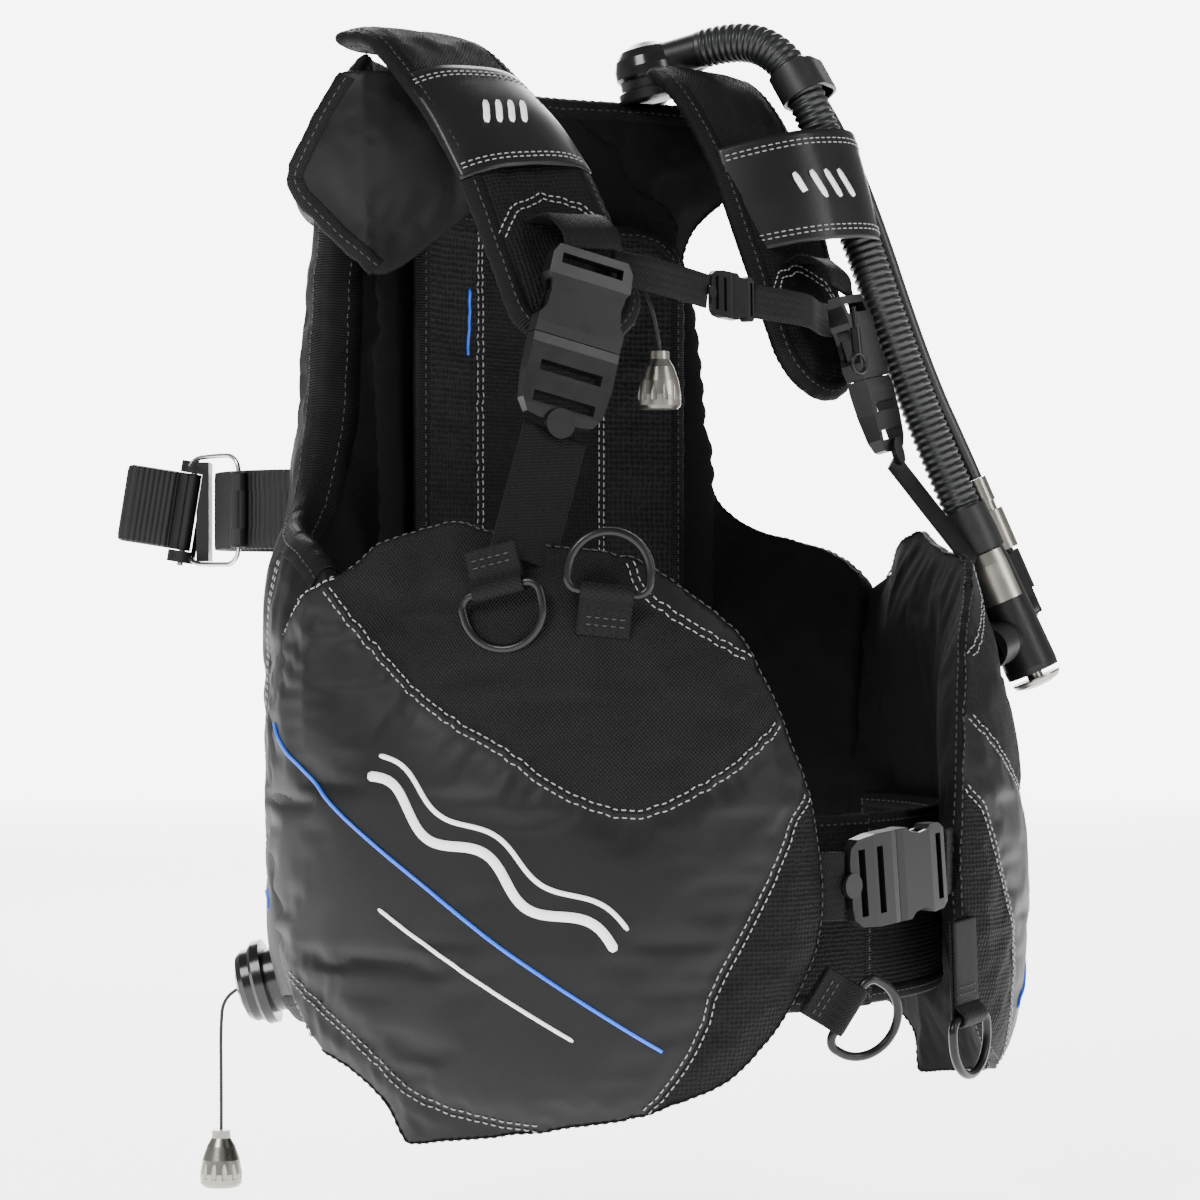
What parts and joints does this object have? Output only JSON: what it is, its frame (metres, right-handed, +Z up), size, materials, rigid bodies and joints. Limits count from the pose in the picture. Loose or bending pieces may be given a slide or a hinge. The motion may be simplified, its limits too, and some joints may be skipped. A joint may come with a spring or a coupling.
{
  "type": "buoyancy compensator vest",
  "caption": "Diving jacket with inflatable lobes, shoulder harness, side-release buckles, tank band, power inflator and dump valves",
  "frame": {"origin": "middle of the tank band on the tank's axis", "axes": "+Z up along the tank, -Y the wearer's front, +X the wearer's left"},
  "size_m": [0.4926, 0.5919, 0.712],
  "materials": {
    "jacket_fabric": "coarse woven nylon",
    "coated_fabric": "smooth coated",
    "mesh_fabric": "spacer mesh",
    "webbing": "ribbed webbing",
    "cord": "braided",
    "rubber_hose": "satin",
    "feed_hose": "satin",
    "soft_rubber": "matte",
    "stainless": "polished",
    "nickel": "satin plated",
    "matte_black_plastic": "moulded",
    "gloss_black_plastic": "polished",
    "buckle_plastic": "moulded",
    "ring_plastic": "polished"
  },
  "bodies": {
    "jacket": {"back_bladder": "jacket_fabric", "back_pad": "mesh_fabric", "backplate": "matte_black_plastic", "cam_bail": "stainless", "cam_buckle": "matte_black_plastic", "cam_pivot_pin": "stainless", "carry_handle": "webbing", "collar_wings": "jacket_fabric", "corrugated_hose": "rubber_hose", "elbow_cap": "gloss_black_plastic", "hose_cuff": "rubber_hose", "hose_keeper": "rubber_hose", "inflator_body": "matte_black_plastic", "inflator_cover": "nickel", "left_buckle_socket": "buckle_plastic", "left_cummerbund": "mesh_fabric", "left_lobe": "jacket_fabric", "left_shoulder_pad": "mesh_fabric", "left_shoulder_webbing": "webbing", "lower_dump_body": "matte_black_plastic", "lower_dump_cap": "gloss_black_plastic", "lp_hose": "feed_hose", "lp_hose_ferrule": "nickel", "lp_hose_fitting": "nickel", "mouthpiece": "soft_rubber", "right_buckle_socket": "buckle_plastic", "right_cummerbund": "mesh_fabric", "right_lobe": "jacket_fabric", "right_shoulder_pad": "mesh_fabric", "right_shoulder_webbing": "webbing", "shoulder_dump_valve": "gloss_black_plastic", "shoulder_elbow": "matte_black_plastic", "snap_clip": "gloss_black_plastic", "sternum_buckle_socket": "buckle_plastic", "sternum_webbing_left": "webbing", "sternum_webbing_right": "webbing", "strap_sleeves": "coated_fabric", "tank_band": "webbing", "waist_buckle_prong": "buckle_plastic", "waist_webbing_left": "webbing", "waist_webbing_right": "webbing", "webbing_tabs": "webbing"},
    "right_buckle_plug": {"right_buckle_prong": "buckle_plastic"},
    "left_buckle_plug": {"left_buckle_prong": "buckle_plastic"},
    "sternum_buckle_plug": {"sternum_buckle_prong": "buckle_plastic"},
    "waist_buckle_receiver": {"waist_buckle_socket": "buckle_plastic"},
    "cam_handle": {"cam_lever": "matte_black_plastic", "band_tail": "webbing"},
    "inflate_key": {"inflate_button": "gloss_black_plastic"},
    "deflate_key": {"deflate_button": "nickel"},
    "feed_coupling": {"lp_coupling": "nickel"},
    "lower_pull": {"lower_pull_cord": "cord", "lower_pull_knob": "nickel"},
    "shoulder_pull": {"shoulder_pull_cord": "cord", "shoulder_pull_knob": "nickel"},
    "right_chest_ring_swing": {"right_chest_ring": "ring_plastic"},
    "right_upper_ring_swing": {"right_upper_ring": "ring_plastic"},
    "left_chest_ring_swing": {"left_chest_ring": "ring_plastic"},
    "right_lower_ring_swing": {"right_lower_ring": "ring_plastic"},
    "left_lower_ring_swing": {"left_lower_ring": "ring_plastic"}
  },
  "joints": [
    {"name": "right_buckle_release", "type": "slide", "parent": "jacket", "child": "right_buckle_plug", "axis": [-0.2606, 0.0193, -0.9652], "range_m": [0, 0.028], "deforming": ["right_shoulder_webbing"]},
    {"name": "left_buckle_release", "type": "slide", "parent": "jacket", "child": "left_buckle_plug", "axis": [0.2109, -0.1917, -0.9585], "range_m": [0, 0.028], "deforming": ["left_shoulder_webbing"]},
    {"name": "sternum_buckle_release", "type": "slide", "parent": "jacket", "child": "sternum_buckle_plug", "axis": [-0.9911, -0.1189, 0.0595], "range_m": [0, 0.014], "deforming": ["sternum_webbing_right"]},
    {"name": "waist_buckle_release", "type": "slide", "parent": "jacket", "child": "waist_buckle_receiver", "axis": [0.995, 0, 0.0995], "range_m": [0, 0.017], "deforming": ["waist_webbing_left"]},
    {"name": "cam_lever_turn", "type": "hinge", "parent": "jacket", "child": "cam_handle", "pos_m": [-0.0792, 0.0792, 0], "axis": [-0.1106, 0.1106, -0.9877], "range_deg": [0, 70]},
    {"name": "inflate_button_press", "type": "slide", "parent": "jacket", "child": "inflate_key", "axis": [-0.9592, -0.0834, -0.2703], "range_m": [0, 0.003], "stiffness_N_per_m": 600, "springref_m": -0.003},
    {"name": "deflate_button_press", "type": "slide", "parent": "jacket", "child": "deflate_key", "axis": [-0.2828, 0.2828, 0.9165], "range_m": [0, 0.003], "stiffness_N_per_m": 600, "springref_m": -0.003},
    {"name": "lp_coupling_pull", "type": "slide", "parent": "jacket", "child": "feed_coupling", "axis": [-0.2828, 0.2828, 0.9165], "range_m": [0, 0.004], "stiffness_N_per_m": 500, "springref_m": -0.002},
    {"name": "lower_dump_pull", "type": "slide", "parent": "jacket", "child": "lower_pull", "axis": [0, 0, -1], "range_m": [0, 0.012], "stiffness_N_per_m": 300, "deforming": ["lower_pull_cord"]},
    {"name": "shoulder_dump_pull", "type": "slide", "parent": "jacket", "child": "shoulder_pull", "axis": [0, 0, -1], "range_m": [0, 0.012], "stiffness_N_per_m": 300, "deforming": ["shoulder_pull_cord"]},
    {"name": "right_chest_ring_swing", "type": "hinge", "parent": "jacket", "child": "right_chest_ring_swing", "pos_m": [-0.2057, -0.34742, -0.051], "axis": [-0.4906, 0.8371, -0.2419], "range_deg": [0, 100]},
    {"name": "right_upper_ring_swing", "type": "hinge", "parent": "jacket", "child": "right_upper_ring_swing", "pos_m": [-0.16882, -0.39374, -0.053], "axis": [0.7274, -0.6782, -0.1045], "range_deg": [0, 100]},
    {"name": "left_chest_ring_swing", "type": "hinge", "parent": "jacket", "child": "left_chest_ring_swing", "pos_m": [0.22576, -0.29014, -0.037], "axis": [-0.1929, -0.9509, 0.2419], "range_deg": [0, 100]},
    {"name": "right_lower_ring_swing", "type": "hinge", "parent": "jacket", "child": "right_lower_ring_swing", "pos_m": [-0.047, -0.46, -0.283], "axis": [-0.3894, 0.3549, -0.85], "range_deg": [0, 100]},
    {"name": "left_lower_ring_swing", "type": "hinge", "parent": "jacket", "child": "left_lower_ring_swing", "pos_m": [0.056, -0.462, -0.295], "axis": [-0.9689, -0.2428, -0.0484], "range_deg": [0, 100]}
  ]
}
